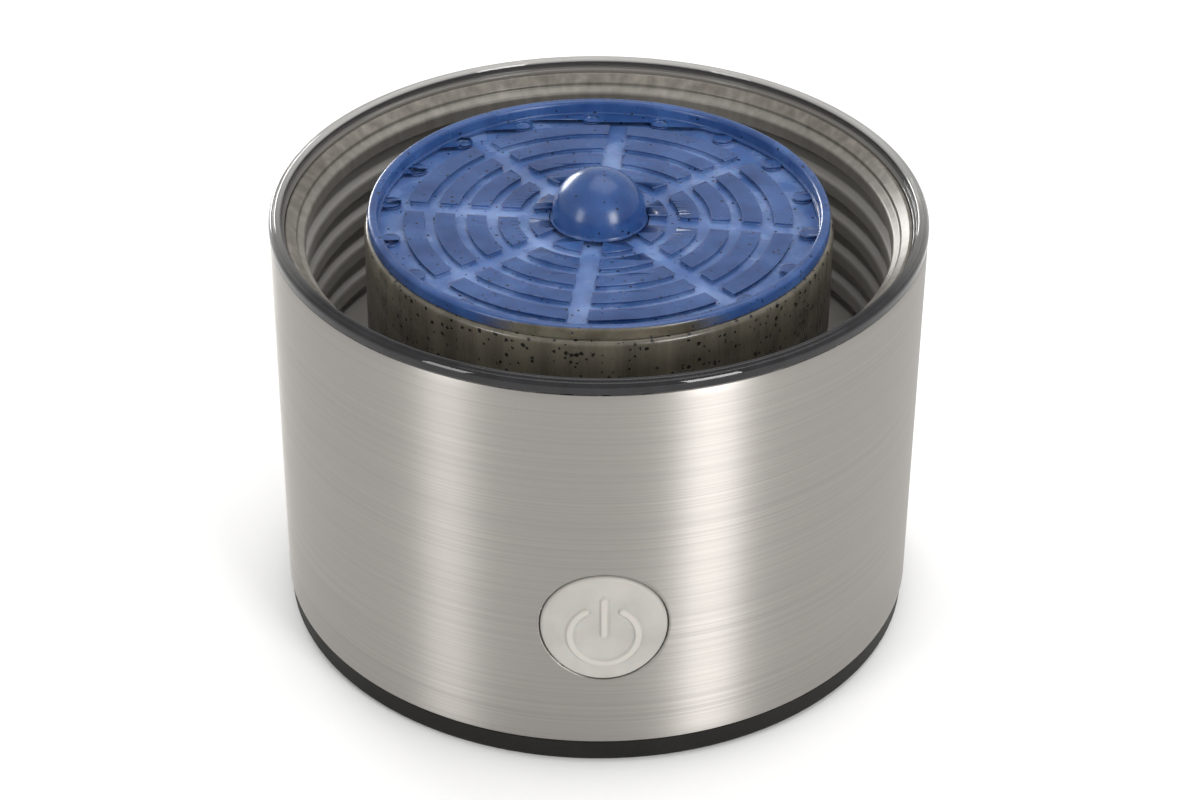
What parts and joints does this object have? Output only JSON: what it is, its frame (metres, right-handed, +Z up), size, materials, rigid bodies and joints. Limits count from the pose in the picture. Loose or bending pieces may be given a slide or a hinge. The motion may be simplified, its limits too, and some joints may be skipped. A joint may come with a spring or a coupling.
{
  "type": "vibratory rock tumbler",
  "caption": "Round countertop tumbler: brushed steel sleeve, ribbed trough, sprung drum under a slotted blue lid with a round knob, and a power button in front.",
  "frame": {"origin": "middle of the footprint, on the surface the feet stand on", "axes": "+Z up, the power button faces -Y"},
  "size_m": [0.1102, 0.1109, 0.0814],
  "materials": {
    "base_plastic": "fine texture",
    "foot_rubber": "matt",
    "screw_steel": "zinc",
    "sleeve_steel": "brushed round the sleeve",
    "lip_clear": "clear, polished",
    "liner_metal": "polished, dark",
    "spring_steel": "drawn wire",
    "switch_plastic": "satin",
    "board_green": "lacquered",
    "bracket_plastic": "satin",
    "contact_brass": "turned",
    "wire_red": "satin",
    "platform_plastic": "satin",
    "hub_plastic": "satin",
    "can_steel": "plated",
    "magnet_ferrite": "matt",
    "winding_copper": "enamelled wire",
    "drum_smoke": "smoked, speckled",
    "lid_blue": "tinted, clear",
    "button_silicone": "satin"
  },
  "bodies": {
    "housing": {"base_pan": "base_plastic", "rubber_feet": "foot_rubber", "base_screws": "screw_steel", "outer_sleeve": "sleeve_steel", "clear_lip": "lip_clear", "trough_liner": "liner_metal", "support_springs": "spring_steel", "tact_switch": "switch_plastic", "control_board": "board_green", "board_screws": "screw_steel", "button_bracket": "bracket_plastic", "bracket_screws": "screw_steel", "dc_jack": "switch_plastic", "jack_contact": "contact_brass", "jack_clamp": "bracket_plastic", "jack_screws": "screw_steel", "power_wires": "wire_red"},
    "shaker": {"drive_platform": "platform_plastic", "drive_hub": "hub_plastic", "motor_cup": "platform_plastic", "motor_screws": "screw_steel", "motor_can": "can_steel", "motor_endcap": "hub_plastic", "motor_magnets": "magnet_ferrite", "motor_bushes": "contact_brass"},
    "rotor": {"motor_armature": "winding_copper", "motor_shaft": "can_steel", "eccentric_weight": "contact_brass", "weight_setscrew": "screw_steel"},
    "drum": {"drum_cup": "drum_smoke"},
    "lid": {"slotted_lid": "lid_blue"},
    "button": {"power_button": "button_silicone", "switch_plunger": "switch_plastic"}
  },
  "joints": [
    {"name": "shaker_bounce", "type": "slide", "parent": "housing", "child": "shaker", "axis": [0, 0, 1], "range_m": [-0.0008, 0.0008], "stiffness_N_per_m": 3000, "springref_m": 0.00035, "deforming": ["support_springs"]},
    {"name": "motor_spin", "type": "hinge", "parent": "shaker", "child": "rotor", "pos_m": [0, 0, 0.0215], "axis": [0, 0, 1], "continuous": true},
    {"name": "drum_lift", "type": "slide", "parent": "shaker", "child": "drum", "axis": [0, 0, 1], "range_m": [0, 0.05]},
    {"name": "lid_lift", "type": "slide", "parent": "drum", "child": "lid", "axis": [0, 0, 1], "range_m": [0, 0.03]},
    {"name": "button_press", "type": "slide", "parent": "housing", "child": "button", "axis": [0, 1, 0], "range_m": [0, 0.0007], "stiffness_N_per_m": 1500, "springref_m": -0.0004}
  ]
}
